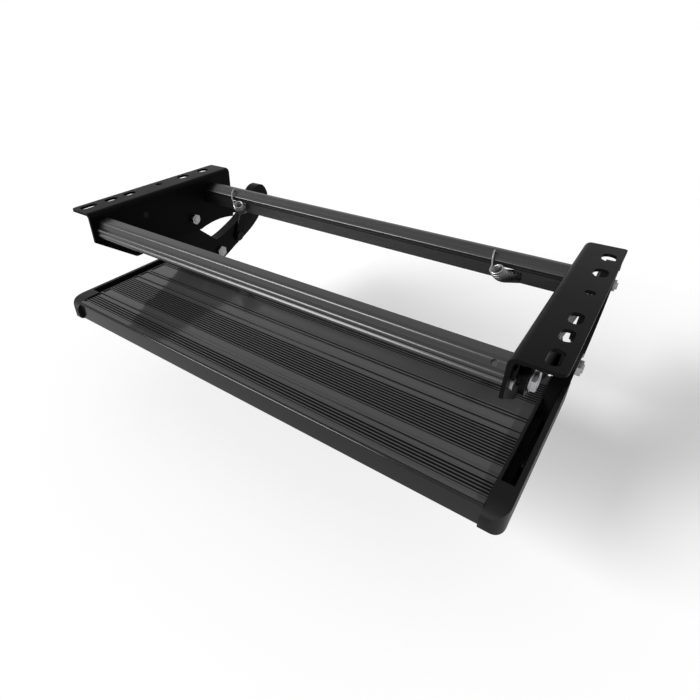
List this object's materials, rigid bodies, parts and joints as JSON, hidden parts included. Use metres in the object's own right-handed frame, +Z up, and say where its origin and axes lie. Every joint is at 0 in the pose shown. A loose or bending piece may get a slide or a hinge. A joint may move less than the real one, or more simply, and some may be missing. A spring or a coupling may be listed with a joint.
{
  "type": "folding step",
  "caption": "Folding entry step: a ribbed tread on goose-neck carriers swings on parallel arms under a flanged mounting frame with return springs.",
  "frame": {"origin": "middle between the two round holes, on the top faces of the two mounting flanges", "axes": "+X along the width to the right-hand bracket, -Y towards the front, the way the step swings out, +Z up into the vehicle floor"},
  "size_m": [0.56, 0.3768, 0.146],
  "materials": {
    "bracket_paint": "satin black powder coat",
    "arm_paint": "semi-gloss black paint",
    "black_anodised": "black anodised extrusion",
    "zinc": "zinc plated",
    "black_steel": "black finished steel",
    "bush_brass": "plain bush",
    "cap_plastic": "moulded black, fine grain",
    "buffer_rubber": "matt black",
    "spring_steel": "bright drawn wire"
  },
  "bodies": {
    "frame": {"bracket_left": "bracket_paint", "bracket_right": "bracket_paint", "cross_front": "black_anodised", "cross_rear": "black_anodised", "cross_screws": "zinc", "cross_studs": "black_steel", "arm_pins": "zinc", "arm_collars": "black_steel", "arm_washers": "zinc", "arm_nuts": "zinc", "link_pins": "black_steel", "link_collars": "black_steel", "stop_bolts": "zinc", "stop_sleeves": "black_steel", "stop_nuts": "zinc"},
    "arms": {"arm_left": "arm_paint", "arm_right": "arm_paint", "arm_bushes": "bush_brass"},
    "step": {"tread": "black_anodised", "cap_left": "cap_plastic", "cap_right": "cap_plastic", "carrier_left": "arm_paint", "carrier_right": "arm_paint", "carrier_bolts": "zinc", "carrier_spacers": "black_steel", "carrier_washers": "zinc", "carrier_nuts": "zinc", "link_rivets": "black_steel", "tail_bolts": "zinc", "tail_sleeves": "black_steel", "tail_buffers": "buffer_rubber", "tail_washers": "zinc", "tail_nuts": "zinc", "carrier_screws": "black_steel"},
    "links": {"link_left": "arm_paint", "link_right": "arm_paint"},
    "springs": {"spring_left": "spring_steel", "spring_right": "spring_steel"}
  },
  "joints": [
    {"name": "arm_swing", "type": "hinge", "parent": "frame", "child": "arms", "pos_m": [0, -0.097, -0.032], "axis": [-1, 0, 0], "range_deg": [0, 58], "stiffness_Nm_per_rad": 4, "springref_deg": -108.86},
    {"name": "step_level", "type": "hinge", "parent": "arms", "child": "step", "pos_m": [0, 0.08297, -0.12549], "axis": [-1, 0, 0], "range_deg": [-58, 0]},
    {"name": "link_swing", "type": "hinge", "parent": "frame", "child": "links", "pos_m": [0, -0.047, -0.024], "axis": [-1, 0, 0], "range_deg": [0, 58]},
    {"name": "spring_swing", "type": "hinge", "parent": "frame", "child": "springs", "pos_m": [0, 0.03919, -0.022], "axis": [-1, 0, 0], "range_deg": [0, 74.22], "deforming": ["spring_left", "spring_right"]}
  ],
  "couplings": [
    {"joint": "step_level", "follows": "arm_swing", "ratio": -1},
    {"joint": "link_swing", "follows": "arm_swing", "ratio": 1},
    {"joint": "spring_swing", "follows": "arm_swing", "ratio": 1.2795}
  ]
}
